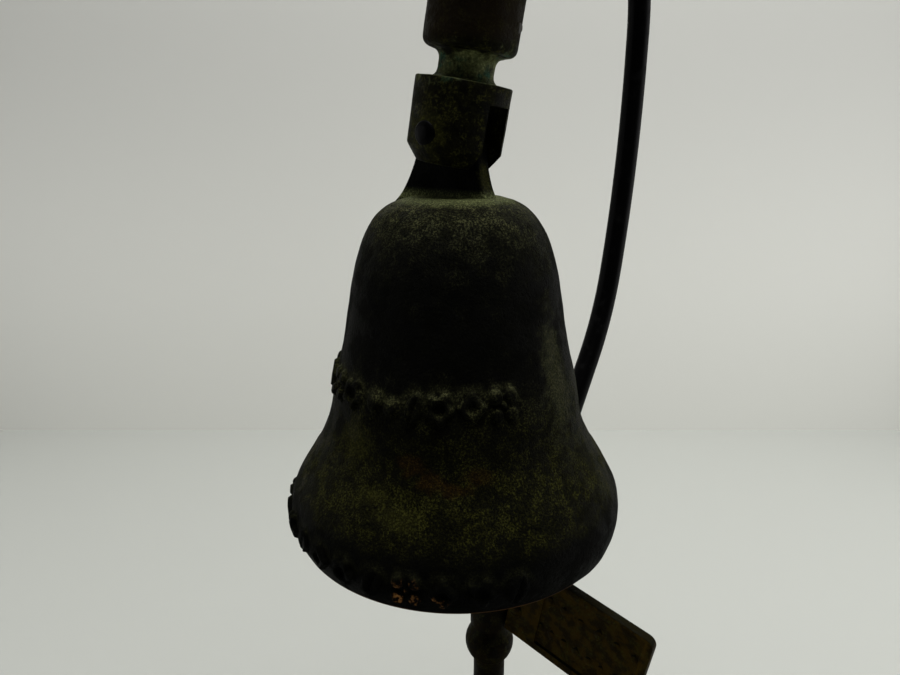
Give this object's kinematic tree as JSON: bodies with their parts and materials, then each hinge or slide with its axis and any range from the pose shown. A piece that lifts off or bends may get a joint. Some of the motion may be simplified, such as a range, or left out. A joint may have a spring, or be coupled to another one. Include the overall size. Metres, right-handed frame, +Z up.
{
  "type": "hanging bell on a stand",
  "caption": "Cast bronze bell with a flared lip, hung by a pinned swivel clevis from a bent rod on a turned post with a sign plate and weighted round base.",
  "frame": {"origin": "centre of the base's underside, on the post's axis", "axes": "+Z up along the post; +X towards the bulge of the arm; -Y towards the sign plate's free end"},
  "size_m": [0.12, 0.12, 0.2556],
  "materials": {
    "stand_iron": "black oxidised, satin",
    "post_bronze": "old dark bronze patina",
    "base_bronze": "old dark bronze patina, rubbed on the edges",
    "sign_bronze": "brown patina with pale green on the edges",
    "hanger_bronze": "olive brown patina with verdigris in the coves",
    "bell_bronze": "sand-cast grain under near-black olive patina",
    "weight_iron": "rough",
    "clapper_iron": "forged, rust brown",
    "steel": "dulled",
    "felt": "green felt"
  },
  "bodies": {
    "stand": {"base": "base_bronze", "base_weight": "weight_iron", "base_felt": "felt", "base_washer": "steel", "base_nut": "steel", "foot_collar": "post_bronze", "post": "post_bronze", "post_head": "post_bronze", "post_head_screw": "steel", "arm": "stand_iron", "swivel_socket": "hanger_bronze", "socket_set_screw": "hanger_bronze", "swivel_retaining_pin": "steel"},
    "sign": {"sign_sleeve": "post_bronze", "sign_plate": "sign_bronze", "sign_rivets": "sign_bronze", "sign_washer": "post_bronze"},
    "swivel": {"clevis": "hanger_bronze", "clevis_pin": "hanger_bronze"},
    "bell": {"bell": "bell_bronze", "clapper_staple": "clapper_iron"},
    "link": {"clapper_link": "clapper_iron"},
    "clapper": {"clapper_rod": "clapper_iron", "clapper_ball": "clapper_iron"}
  },
  "joints": [
    {"name": "swivel_turn", "type": "hinge", "parent": "stand", "child": "swivel", "pos_m": [-0.0129, 0, 0.196], "axis": [0.0767, -0.1392, 0.9873], "continuous": true},
    {"name": "bell_swing", "type": "hinge", "parent": "swivel", "child": "bell", "pos_m": [-0.0129, 0, 0.196], "axis": [-0.997, 0, 0.0775], "range_deg": [-20, 20]},
    {"name": "link_swing", "type": "hinge", "parent": "bell", "child": "link", "pos_m": [-0.0129, 0, 0.1748], "axis": [1, 0, 0], "range_deg": [-17, 17]},
    {"name": "clapper_swing", "type": "hinge", "parent": "link", "child": "clapper", "pos_m": [-0.0129, 0, 0.16965], "axis": [0, 1, 0], "range_deg": [-17, 17]},
    {"name": "sign_turn", "type": "hinge", "parent": "stand", "child": "sign", "pos_m": [0, 0, 0.095], "axis": [0, 0, 1], "continuous": true}
  ]
}
